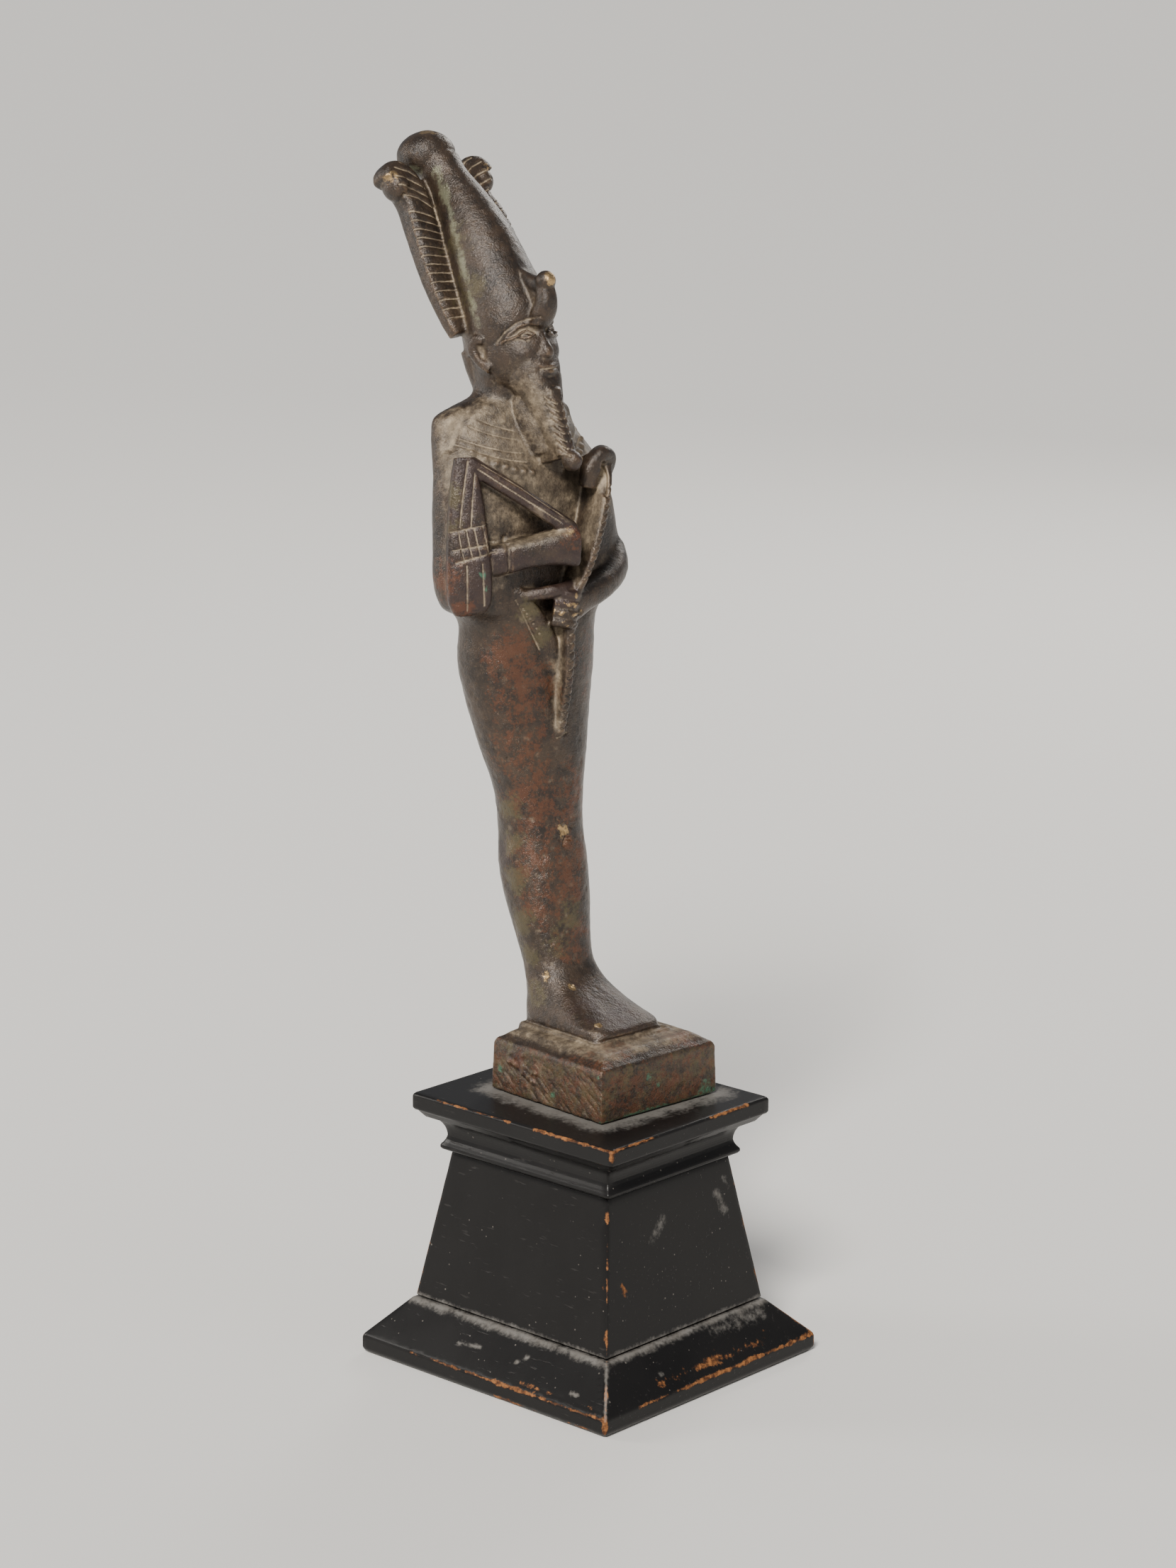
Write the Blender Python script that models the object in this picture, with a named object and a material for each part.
# Osiris statuette: a bronze mummy-form figure cast in one with its square base, on a black wooden stand.
# Metres, +Z up. The origin is the middle of the stand's underside, and the figure looks along -Y.
import math

import bmesh
import bpy
from mathutils import Matrix, Vector

MM = 0.001

# Wooden stand: three solid pieces, each bedded on the one below.
FOOT_WIDTH = 61.4 * MM
FOOT_DEPTH = 64.0 * MM
FOOT_HEIGHT = 11.2 * MM
FOOT_EDGE = 3.6 * MM
FOOT_UNDERCUT = 0.8 * MM
FOOT_LEDGE = 0.4 * MM
BODY_BOTTOM_WIDTH = 45.4 * MM
BODY_BOTTOM_DEPTH = 50.0 * MM
BODY_TOP_WIDTH = 35.0 * MM
BODY_TOP_DEPTH = 40.6 * MM
BODY_HEIGHT = 29.2 * MM
CAP_SIDE_OVERHANG = 0.1 * MM
CAP_FRONT_OVERHANG = 0.9 * MM
CAP_WIDTH = BODY_BOTTOM_WIDTH + 2 * CAP_SIDE_OVERHANG
CAP_DEPTH = BODY_BOTTOM_DEPTH + 2 * CAP_FRONT_OVERHANG
CAP_HEIGHT = 11.6 * MM
CAP_PLATE = 3.4 * MM
CAP_CHAMFER_IN = 1.7 * MM
CAP_CHAMFER_HEIGHT = 1.4 * MM
CAP_NECK_PROUD = 0.7 * MM
CAP_LIP_OUT = 1.0 * MM
CAP_LIP_HEIGHT = 1.1 * MM
CAP_FILLET_HEIGHT = 1.9 * MM
CAP_HOLLOW_STEPS = 6
JOINT_GAP = 0.3 * MM
ARRIS = 0.35 * MM

# Bronze base, cast in one with the figure and set a little askew on the stand.
BASE_WIDTH = 30.4 * MM
BASE_DEPTH = 31.0 * MM
BASE_HEIGHT = 10.5 * MM
BASE_TURN = math.radians(-4.7)
BASE_SHIFT_X = 3.4 * MM
BASE_SHIFT_Y = -0.4 * MM
BASE_TAPER_WIDTH = 0.1 * MM
BASE_TAPER_DEPTH = 0.3 * MM
BASE_ROUNDING = 1.1 * MM
BASE_DOME_IN = 3.4 * MM
BASE_DOME_RISE = 1.5 * MM
PAD_RISE = 2.3 * MM

# The figure's pose, proportions and carving are shares of its own height, written in its 169.5 parts.
FIGURE_HEIGHT = 169.5 * MM
PART = FIGURE_HEIGHT / 169.5
PAD_WIDTH = 19.5 * PART
PAD_DEPTH = 23.5 * PART
PAD_BACK = 3.4 * PART
FEET_SUNK = 1.9

BRONZE = (0.105, 0.075, 0.05)
EBONISED = (0.008, 0.0075, 0.007)


def remove_everything():
    for thing in list(bpy.data.objects):
        bpy.data.objects.remove(thing)


def material(name, colour, roughness, metallic):
    made = bpy.data.materials.new(name)
    made.use_nodes = True
    shader = made.node_tree.nodes["Principled BSDF"]
    shader.inputs["Base Color"].default_value = (*colour, 1)
    shader.inputs["Roughness"].default_value = roughness
    shader.inputs["Metallic"].default_value = metallic
    return made


def add_object(name, bm, finish, parent=None):
    bmesh.ops.recalc_face_normals(bm, faces=bm.faces)
    mesh = bpy.data.meshes.new(name)
    bm.to_mesh(mesh)
    bm.free()
    mesh.materials.append(finish)
    mesh.shade_smooth()
    mesh.set_sharp_from_angle(angle=math.radians(40))
    made = bpy.data.objects.new(name, mesh)
    bpy.context.scene.collection.objects.link(made)
    made.parent = parent
    return made


# A section is a closed curve given by its centre, its side and front directions, its half width, and its
# reach and squareness to the front and to the back. Flare widens it towards the front.
def section(centre, side, front, half_width, ahead, behind, squareness, back_squareness, flare=0.0):
    def point(turn):
        facing_front = math.sin(turn) > 0
        power = 2.0 / (squareness if facing_front else back_squareness)
        across = math.copysign(abs(math.cos(turn)) ** power, math.cos(turn))
        along = math.copysign(abs(math.sin(turn)) ** power, math.sin(turn))
        reach = ahead if facing_front else behind
        return centre + side * across * half_width * (1 + flare * along) + front * along * reach

    return point


def open_rim(grown):
    return [item for item in grown if isinstance(item, bmesh.types.BMEdge) and len(item.link_faces) == 1]


def loft(bm, sections, segments):
    """A ring of edges, extruded from section to section and closed at both ends."""
    turn_of = bm.verts.layers.float.get("turn") or bm.verts.layers.float.new("turn")
    ring = bmesh.ops.create_circle(bm, cap_ends=True, segments=segments, radius=1)["verts"]
    for vert in ring:
        vert[turn_of] = math.atan2(vert.co.y, vert.co.x)
        vert.co = sections[0](vert[turn_of])
    edges = {edge for vert in ring for edge in vert.link_edges}
    for place in sections[1:]:
        edges = open_rim(bmesh.ops.extrude_edge_only(bm, edges=list(edges))["geom"])
        for vert in {vert for edge in edges for vert in edge.verts}:
            vert.co = place(vert[turn_of])
    bmesh.ops.holes_fill(bm, edges=list(edges), sides=segments)


def level(height, depth, half_width, ahead, behind, square=2.0, back_square=None, tilt=0.0, flare=0.0):
    """A section across the figure at a height and depth, leaning back by tilt degrees."""
    squareness = (square, back_square or square)
    lean = math.radians(tilt)
    front = Vector((0, -math.cos(lean), math.sin(lean)))
    centre = Vector((0, depth, height)) * PART
    sizes = (half_width * PART, ahead * PART, behind * PART)
    return section(centre, Vector((1, 0, 0)), front, *sizes, *squareness, flare)


def limb(bm, stops, facing, segments=10, squareness=2.4):
    """A tube through stops of (x, y, z, half width, half depth), its depth turned towards facing."""
    points = [Vector(stop[:3]) * PART for stop in stops]
    sections = []
    for i, stop in enumerate(stops):
        along = (points[min(i + 1, len(points) - 1)] - points[max(i - 1, 0)]).normalized()
        side = along.cross(Vector(facing)).normalized()
        front = side.cross(along).normalized()
        half_width, half_depth = stop[3] * PART, stop[4] * PART
        sizes = (half_width, half_depth, half_depth, squareness, squareness)
        sections.append(section(points[i], side, front, *sizes))
    loft(bm, sections, segments)


def ball(bm, centre, radii, tilt=0.0, segments=14, rings=9):
    turn = Matrix.Rotation(math.radians(-tilt), 4, "X")
    size = Matrix.Diagonal((*[radius * PART for radius in radii], 1))
    place = Matrix.Translation(Vector(centre) * PART) @ turn @ size
    bmesh.ops.create_uvsphere(bm, u_segments=segments, v_segments=rings, radius=1, matrix=place)


def slab(bm, outline, half_thickness):
    """A plate that stands on the figure's middle plane, with an outline of (depth, height)."""
    corners = [bm.verts.new(Vector((-half_thickness, y, z)) * PART) for y, z in outline]
    grown = bmesh.ops.extrude_face_region(bm, geom=[bm.faces.new(corners)])["geom"]
    moved = [item for item in grown if isinstance(item, bmesh.types.BMVert)]
    bmesh.ops.translate(bm, vec=(2 * half_thickness * PART, 0, 0), verts=moved)


# Body: feet, wrapped legs and torso, shoulders and neck, from the sole up.
BODY_LEVELS = [
    level(PAD_RISE / PART - FEET_SUNK, 8.0, 8.9, 15.8, 7.6, 4.2, flare=0.09),
    level(3.7, 8.0, 8.9, 15.8, 7.8, 4.2, flare=0.09),
    level(4.8, 8.6, 8.6, 13.8, 7.4, 3.8, flare=0.06),
    level(7.0, 10.0, 8.1, 10.0, 6.4, 3.0, flare=0.03),
    level(9.8, 11.8, 7.5, 7.0, 5.5, 2.6),
    level(13.2, 13.4, 7.1, 6.1, 5.6, 2.3),
    level(18.3, 14.8, 7.7, 6.5, 6.4, 2.2),
    level(25.0, 16.4, 8.5, 7.3, 7.3, 2.2),
    level(32.0, 17.7, 9.0, 7.6, 7.7, 2.2),
    level(38.7, 18.4, 8.6, 7.1, 7.3, 2.2),
    level(46.4, 19.1, 9.4, 7.2, 7.2, 2.2),
    level(54.5, 20.5, 11.6, 7.8, 8.0, 2.2),
    level(64.5, 22.1, 13.9, 8.6, 9.1, 2.2),
    level(71.5, 22.7, 15.1, 9.1, 9.5, 2.2),
    level(78.0, 22.4, 15.0, 8.8, 9.2, 2.3),
    level(81.0, 22.3, 16.8, 8.2, 8.4, 2.4),
    level(83.2, 22.2, 20.6, 7.8, 7.2, 2.6),
    level(88.3, 22.4, 22.2, 7.6, 6.8, 2.8),
    level(95.0, 23.2, 21.6, 7.8, 6.8, 2.8),
    level(101.5, 24.4, 21.0, 8.4, 6.6, 2.6),
    level(106.0, 25.4, 20.2, 8.8, 6.4, 2.4),
    level(109.5, 27.0, 19.0, 9.6, 6.0, 2.0, 2.4),
    level(112.5, 28.8, 17.8, 10.2, 5.4, 1.8, 2.4),
    level(115.5, 30.0, 17.0, 10.2, 4.8, 1.7, 2.4),
    level(118.0, 30.3, 16.2, 9.0, 4.4, 1.7, 2.2),
    level(119.8, 30.0, 12.6, 7.8, 4.4, 1.8),
    level(121.2, 29.2, 8.0, 6.6, 4.8),
    level(123.2, 28.0, 6.5, 6.2, 7.0),
    level(127.0, 27.4, 6.8, 6.2, 9.2),
    level(131.0, 27.4, 6.4, 6.0, 9.4),
]

# Head and face: the face is laid out on thirds of its height, in the head's own leaning frame.
HEAD_CENTRE = Vector((0, 26.5, 129.9))
HEAD_LEAN = 20.0
HEAD_RADII = (7.7, 9.1, 8.7)
FACE_HEIGHT = 14.2
BROW_UP = 3.7


def in_head(across, ahead, up):
    lean = math.radians(HEAD_LEAN)
    front = Vector((0, -math.cos(lean), math.sin(lean)))
    top = Vector((0, math.sin(lean), math.cos(lean)))
    return HEAD_CENTRE + Vector((across, 0, 0)) + front * ahead + top * up


def add_head(bm):
    nose_up = BROW_UP - FACE_HEIGHT / 2
    mouth_up = nose_up - FACE_HEIGHT / 6
    chin_up = BROW_UP - FACE_HEIGHT + 2.2
    ball(bm, HEAD_CENTRE, HEAD_RADII, HEAD_LEAN, 20, 12)
    ball(bm, in_head(0, 3.6, mouth_up + 0.8), (5.4, 5.4, 5.6), HEAD_LEAN)
    ball(bm, in_head(0, 6.6, chin_up), (2.2, 2.0, 2.1), HEAD_LEAN, 10, 6)
    ball(bm, in_head(0, 8.6, mouth_up), (2.1, 1.0, 0.85), HEAD_LEAN, 10, 6)
    nose = [in_head(0, 8.4, BROW_UP - 0.6), in_head(0, 9.1, nose_up + 2.4), in_head(0, 9.7, nose_up + 0.8)]
    widths = (0.6, 0.85, 1.25)
    limb(bm, [(*point, width, 1.0) for point, width in zip(nose, widths)], (0, -1, 0.3), 8)
    for side in (-1, 1):
        ball(bm, in_head(side * 3.1, 7.3, BROW_UP - 2.4), (1.7, 0.9, 0.8), HEAD_LEAN, 10, 6)
        ball(bm, in_head(side * 3.2, 7.2, BROW_UP), (2.5, 0.9, 0.6), HEAD_LEAN, 10, 6)
        ear = [in_head(side * 7.0, 0.4, nose_up + 0.4), in_head(side * 7.8, -0.4, nose_up + 2.6),
               in_head(side * 8.2, -0.6, nose_up + 4.8)]
        limb(bm, [(*ear[0], 0.9, 0.7), (*ear[1], 1.5, 0.8), (*ear[2], 1.3, 0.7)], (side, -0.8, 0), 8)


# Tall crown with a ball top, rearing cobra on the brow and a curled feather each side.
CROWN_TOP_DEPTH = 48.5
CROWN_TOP_HEIGHT = 163.4
CROWN_LEVELS = [
    level(130.0, 27.4, 7.8, 8.0, 11.6, tilt=16),
    level(134.2, 28.0, 8.2, 8.8, 11.0, tilt=18),
    level(137.7, 29.2, 8.0, 8.8, 9.6, tilt=22),
    level(143.7, 32.6, 7.5, 7.6, 7.9, tilt=30),
    level(150.7, 37.1, 6.5, 6.6, 6.7, tilt=35),
    level(156.6, 41.7, 5.0, 5.1, 5.1, tilt=41),
    level(160.7, 45.4, 3.9, 4.0, 3.9, tilt=46),
    level(CROWN_TOP_HEIGHT, CROWN_TOP_DEPTH, 3.9, 4.0, 3.9, tilt=44),
]
KNOB_CENTRE = (0, CROWN_TOP_DEPTH + 2.7, CROWN_TOP_HEIGHT + 1.5)
KNOB_RADII = (4.8, 5.0, 4.6)
FEATHER_FOOT = Vector((0, 33.0, 135.2))
FEATHER_LEAN = 31.8
# Stops along a feather: distance out from the middle, distance up its lean, half width and half thickness.
FEATHER_STOPS = [
    (8.5, 0.0, 2.1, 0.9), (8.6, 3.0, 2.8, 1.1), (8.7, 8.2, 3.1, 1.4), (8.4, 14.4, 3.2, 1.6),
    (7.9, 20.6, 3.2, 1.9), (7.6, 24.4, 3.2, 2.0), (8.2, 27.8, 3.2, 2.1), (10.2, 30.2, 3.2, 2.1),
    (12.6, 30.6, 2.9, 2.1), (13.9, 29.7, 1.9, 1.8),
]
FEATHER_STRAIGHT_COUNT = 6
WEB_STOPS = [(4.6, 1.0, 2.6, 0.7), (4.6, 12.0, 2.6, 0.8), (4.2, 22.0, 2.6, 1.0), (4.4, 29.4, 2.8, 1.2)]
BARB_COUNT = 14
BARB_START = 2.8
BARB_PITCH = 1.55
BARB_DEPTH = 0.5
BARB_HALF_WIDTH = 0.3


def feather_front():
    lean = math.radians(FEATHER_LEAN)
    return Vector((0, -math.cos(lean), math.sin(lean)))


def feather_point(side, out, up):
    lean = math.radians(FEATHER_LEAN)
    return FEATHER_FOOT + Vector((side * out, up * math.sin(lean), up * math.cos(lean)))


def add_feather(bm, side):
    for stops in (FEATHER_STOPS, WEB_STOPS):
        path = [(*feather_point(side, out, up), half, thick) for out, up, half, thick in stops]
        limb(bm, path, feather_front(), 12, 4.0)


def feather_thickness(up):
    straight = FEATHER_STOPS[:FEATHER_STRAIGHT_COUNT]
    for low, high in zip(straight, straight[1:]):
        if low[1] <= up <= high[1]:
            share = (up - low[1]) / (high[1] - low[1])
            return low[3] + share * (high[3] - low[3])
    return straight[-1][3]


def add_barb_cuts(bm):
    """V cuts across the front of both feathers, rising a little towards the crown."""
    front = feather_front()
    for side in (-1, 1):
        for i in range(BARB_COUNT):
            up = BARB_START + i * BARB_PITCH
            face = front * feather_thickness(up)
            inner = feather_point(side, 5.9, up + 0.4) + face
            outer = feather_point(side, 13.0, up) + face
            sizes = (BARB_HALF_WIDTH, BARB_DEPTH)
            limb(bm, [(*inner, *sizes), (*outer, *sizes)], front, 4, 2.0)


def add_cobra(bm):
    stops = [(0, 21.4, 135.6, 2.0, 1.3), (0, 18.7, 137.1, 2.1, 1.5), (0, 17.0, 139.3, 2.0, 1.5),
             (0, 17.3, 141.8, 1.6, 1.4), (0, 18.3, 143.4, 1.3, 1.3)]
    limb(bm, stops, (0, -1, 0.1), 10, 2.2)
    neck = [(0, 18.0, 143.0, 1.3, 1.2), (0, 21.3, 143.1, 1.2, 1.2), (0, 26.0, 144.4, 1.0, 1.2)]
    limb(bm, neck, (0, 0, 1), 8)
    ball(bm, (0, 17.7, 143.9), (2.0, 2.0, 1.9), segments=12, rings=8)


def add_beard(bm):
    chin = in_head(0, 7.6, BROW_UP - FACE_HEIGHT + 1.0)
    stops = [(*chin, 1.8, 1.6), (0, 14.6, 118.8, 1.7, 1.6), (0, 13.0, 114.8, 1.8, 1.6),
             (0, 11.8, 111.6, 1.9, 1.5)]
    limb(bm, stops, (0, -1, 0.4), 8, 3.0)
    ball(bm, (0, 10.2, 110.7), (1.9, 2.1, 2.0), segments=12, rings=8)
    slab(bm, [(16.4, 123.0), (12.8, 113.8), (12.6, 110.8), (20.0, 108.6), (27.0, 119.0), (26.0, 125.6)], 1.4)


# Arms: each upper arm lies within the torso, so only forearms and fists stand out. Right is -X.
def add_right_arm(bm):
    stops = [(-16.6, 19.4, 92.6, 2.7, 3.2), (-13.1, 16.6, 93.0, 2.8, 3.3), (-7.9, 13.4, 94.2, 2.7, 3.2),
             (-3.5, 11.0, 95.0, 3.0, 3.5), (-0.4, 9.8, 95.4, 3.0, 3.4)]
    limb(bm, stops, (-0.3, -1, 0), 12, 3.0)


def add_left_arm(bm):
    stops = [(20.4, 20.7, 93.5, 3.4, 3.8), (17.5, 17.2, 89.4, 3.2, 3.6), (11.4, 14.4, 85.8, 2.8, 3.2),
             (5.2, 13.2, 83.6, 2.8, 3.0), (1.7, 12.8, 82.8, 3.4, 3.2)]
    limb(bm, stops, (0.3, -1, 0), 12, 2.6)
    for finger in range(4):
        height = 85.0 - finger * 1.8
        out = 0.35 * finger
        stops = [(3.1 - out, 12.2, height - 0.5, 1.0, 1.3), (0.4 - out, 10.3, height, 1.0, 1.4),
                 (-2.5 - out, 12.0, height + 0.7, 1.0, 1.3)]
        limb(bm, stops, (-0.2, -1, 0), 8)
    thumb = [(2.7, 11.9, 86.5, 1.3, 1.2), (-2.7, 11.5, 86.0, 1.3, 1.3), (-8.7, 15.2, 85.1, 1.3, 1.2)]
    limb(bm, thumb, (-0.3, -1, 0.4), 8)


# Flail in the right fist: its handle runs up to the right shoulder and its lashes fall down the upper arm.
def add_flail(bm):
    handle = [(-0.6, 9.3, 97.6, 1.6, 1.7), (-8.7, 14.0, 104.2, 1.5, 1.7), (-17.3, 19.6, 110.7, 1.6, 1.7)]
    limb(bm, handle, (-0.5, -1, -0.2), 8, 3.4)
    web = [(-3.1, 13.6, 100.4, 1.3, 3.6), (-8.7, 17.0, 105.1, 1.3, 3.6), (-15.2, 21.0, 109.9, 1.3, 3.2)]
    limb(bm, web, (-0.5, -1, 0), 8, 3.0)
    lashes = [(-18.1, 20.4, 111.9, 1.8, 1.7), (-18.5, 19.5, 106.4, 2.9, 1.8), (-18.9, 18.6, 98.6, 3.8, 1.9),
              (-19.1, 17.8, 90.8, 4.3, 2.0), (-18.9, 17.8, 85.2, 4.1, 2.0), (-18.3, 18.2, 83.0, 3.0, 1.7)]
    limb(bm, lashes, (-0.72, -1, 0), 12, 4.0)


# Crook in the left fist: a tall notched ridge from the lower belly up to a hook at the left shoulder.
def add_crook(bm):
    shaft = [(0.8, 14.4, 85.0, 1.3, 4.4), (3.3, 13.2, 91.2, 1.3, 4.2), (6.0, 13.4, 98.8, 1.3, 4.4),
             (8.9, 15.6, 105.4, 1.4, 4.6), (11.0, 17.0, 110.2, 1.5, 4.4)]
    limb(bm, shaft, (-0.15, -1, 0), 10, 3.4)
    hook = [(11.6, 13.8, 107.0, 1.5, 1.8), (11.6, 12.9, 109.8, 1.6, 2.0), (9.3, 12.2, 110.9, 1.6, 2.0),
            (6.9, 12.3, 108.9, 1.7, 1.9), (5.9, 12.5, 106.2, 1.3, 1.5)]
    limb(bm, hook, (-0.3, -1, 0), 10, 2.6)
    tail = [(0.4, 13.7, 83.4, 1.6, 3.2), (0.0, 13.1, 75.5, 1.7, 3.2), (-0.2, 13.1, 67.7, 1.6, 2.8),
            (-0.4, 13.9, 59.9, 1.3, 2.0), (-0.5, 15.2, 54.5, 0.8, 1.3)]
    limb(bm, tail, (-0.2, -1, 0), 10, 3.0)


def add_apron_band(bm):
    """Flat band that slants down from under the right sleeve to the foot of the crook."""
    stops = [(-9.8, 16.0, 86.0, 1.8, 1.4), (-6.4, 14.7, 81.2, 1.8, 1.3), (-3.1, 14.2, 76.1, 1.6, 1.2),
             (-1.5, 14.2, 71.6, 1.3, 1.0)]
    limb(bm, stops, (-0.5, -1, 0), 8, 3.4)


def hide_tool(tool):
    tool.hide_render = True
    tool.display_type = "WIRE"


def combine(target, tool, operation):
    step = target.modifiers.new(tool.name, "BOOLEAN")
    step.operation = operation
    step.solver = "EXACT"
    step.use_self = True
    step.object = tool
    hide_tool(tool)


def shape(add, *values):
    bm = bmesh.new()
    add(bm, *values)
    return bm


def stack(bm, steps):
    """A square-cornered block: a rectangle carried up through steps of (height, width, depth, set back)."""
    corner_x = bm.verts.layers.float.new("corner_x")
    corner_y = bm.verts.layers.float.new("corner_y")
    ring = bmesh.ops.create_circle(bm, cap_ends=True, segments=4, radius=math.sqrt(0.5))["verts"]
    bmesh.ops.rotate(bm, verts=ring, cent=(0, 0, 0), matrix=Matrix.Rotation(math.radians(45), 3, "Z"))
    for vert in ring:
        vert[corner_x] = math.copysign(0.5, vert.co.x)
        vert[corner_y] = math.copysign(0.5, vert.co.y)
    edges = {edge for vert in ring for edge in vert.link_edges}
    for i, (height, width, depth, back) in enumerate(steps):
        if i:
            edges = open_rim(bmesh.ops.extrude_edge_only(bm, edges=list(edges))["geom"])
        for vert in {vert for edge in edges for vert in edge.verts}:
            vert.co = (vert[corner_x] * width, vert[corner_y] * depth + back, height)
    bmesh.ops.holes_fill(bm, edges=list(edges), sides=4)


def soften(target):
    bevel = target.modifiers.new("worn_arris", "BEVEL")
    bevel.width = ARRIS
    bevel.segments = 1
    bevel.limit_method = "ANGLE"
    bevel.angle_limit = math.radians(50)


def build_figure(bronze):
    """The base is the target, and each part of the casting is fused to it in turn."""
    rounding = 2 * BASE_ROUNDING
    top_width, top_depth = BASE_WIDTH - 2 * BASE_TAPER_WIDTH, BASE_DEPTH - 2 * BASE_TAPER_DEPTH
    steps = [
        (0, BASE_WIDTH, BASE_DEPTH, 0),
        (BASE_HEIGHT - BASE_ROUNDING, top_width, top_depth, 0),
        (BASE_HEIGHT, top_width - rounding, top_depth - rounding, 0),
        (BASE_HEIGHT + BASE_DOME_RISE, BASE_WIDTH - 2 * BASE_DOME_IN, BASE_DEPTH - 2 * BASE_DOME_IN, 0),
        (BASE_HEIGHT + PAD_RISE, PAD_WIDTH, PAD_DEPTH, PAD_BACK),
    ]
    figure = add_object("figure", shape(stack, steps), bronze)
    figure.location = (BASE_SHIFT_X, BASE_SHIFT_Y, FOOT_HEIGHT + BODY_HEIGHT + CAP_HEIGHT + 3 * JOINT_GAP)
    figure.rotation_euler = (0, 0, BASE_TURN)
    fused = [
        ("cast_body", shape(loft, BODY_LEVELS, 28)),
        ("cast_head", shape(add_head)),
        ("cast_crown", shape(loft, CROWN_LEVELS, 20)),
        ("cast_knob", shape(ball, KNOB_CENTRE, KNOB_RADII, FEATHER_LEAN / 2, 16, 10)),
        ("cast_right_feather", shape(add_feather, -1)),
        ("cast_left_feather", shape(add_feather, 1)),
        ("cast_cobra", shape(add_cobra)),
        ("cast_beard", shape(add_beard)),
        ("cast_right_arm", shape(add_right_arm)),
        ("cast_left_arm", shape(add_left_arm)),
        ("cast_flail", shape(add_flail)),
        ("cast_crook", shape(add_crook)),
        ("cast_apron_band", shape(add_apron_band)),
    ]
    for name, bm in fused:
        part = add_object(name, bm, bronze, figure)
        part.location = (0, 0, BASE_HEIGHT)
        combine(figure, part, "UNION")
    cuts = add_object("barb_cuts", shape(add_barb_cuts), bronze, figure)
    cuts.location = (0, 0, BASE_HEIGHT)
    combine(figure, cuts, "DIFFERENCE")


def build_foot(wood):
    steps = [
        (0, FOOT_WIDTH - 2 * FOOT_UNDERCUT, FOOT_DEPTH - 2 * FOOT_UNDERCUT, 0),
        (FOOT_UNDERCUT, FOOT_WIDTH, FOOT_DEPTH, 0),
        (FOOT_EDGE, FOOT_WIDTH, FOOT_DEPTH, 0),
        (FOOT_HEIGHT, BODY_BOTTOM_WIDTH + 2 * FOOT_LEDGE, BODY_BOTTOM_DEPTH + 2 * FOOT_LEDGE, 0),
    ]
    foot = add_object("stand_foot", shape(stack, steps), wood)
    soften(foot)


def build_body(wood):
    steps = [(0, BODY_BOTTOM_WIDTH, BODY_BOTTOM_DEPTH, 0), (BODY_HEIGHT, BODY_TOP_WIDTH, BODY_TOP_DEPTH, 0)]
    body = add_object("stand_body", shape(stack, steps), wood)
    body.location = (0, 0, FOOT_HEIGHT + JOINT_GAP)
    soften(body)


def build_cap(wood):
    """From the bottom: a small lip, a hollow moulding and a flat plate with a chamfer under it."""
    neck_width, neck_depth = BODY_TOP_WIDTH + 2 * CAP_NECK_PROUD, BODY_TOP_DEPTH + 2 * CAP_NECK_PROUD
    plate_bottom = CAP_HEIGHT - CAP_PLATE
    grow_width = CAP_WIDTH - 2 * CAP_CHAMFER_IN - neck_width
    grow_depth = CAP_DEPTH - 2 * CAP_CHAMFER_IN - neck_depth
    hollow_start = CAP_LIP_HEIGHT + CAP_FILLET_HEIGHT
    hollow_rise = plate_bottom - CAP_CHAMFER_HEIGHT - hollow_start
    steps = [
        (0, neck_width, neck_depth, 0),
        (CAP_LIP_HEIGHT, neck_width + 2 * CAP_LIP_OUT, neck_depth + 2 * CAP_LIP_OUT, 0),
    ]
    for i in range(CAP_HOLLOW_STEPS + 1):
        turn = math.radians(90) * i / CAP_HOLLOW_STEPS
        out = 1 - math.cos(turn)
        rise = hollow_start + hollow_rise * math.sin(turn)
        steps.append((rise, neck_width + grow_width * out, neck_depth + grow_depth * out, 0))
    steps += [(plate_bottom, CAP_WIDTH, CAP_DEPTH, 0), (CAP_HEIGHT, CAP_WIDTH, CAP_DEPTH, 0)]
    cap = add_object("stand_cap", shape(stack, steps), wood)
    cap.location = (0, 0, FOOT_HEIGHT + BODY_HEIGHT + 2 * JOINT_GAP)
    soften(cap)


def main():
    remove_everything()
    bronze = material("bronze", BRONZE, 0.45, 0.85)
    wood = material("ebonised_wood", EBONISED, 0.4, 0.0)
    build_foot(wood)
    build_body(wood)
    build_cap(wood)
    build_figure(bronze)


main()
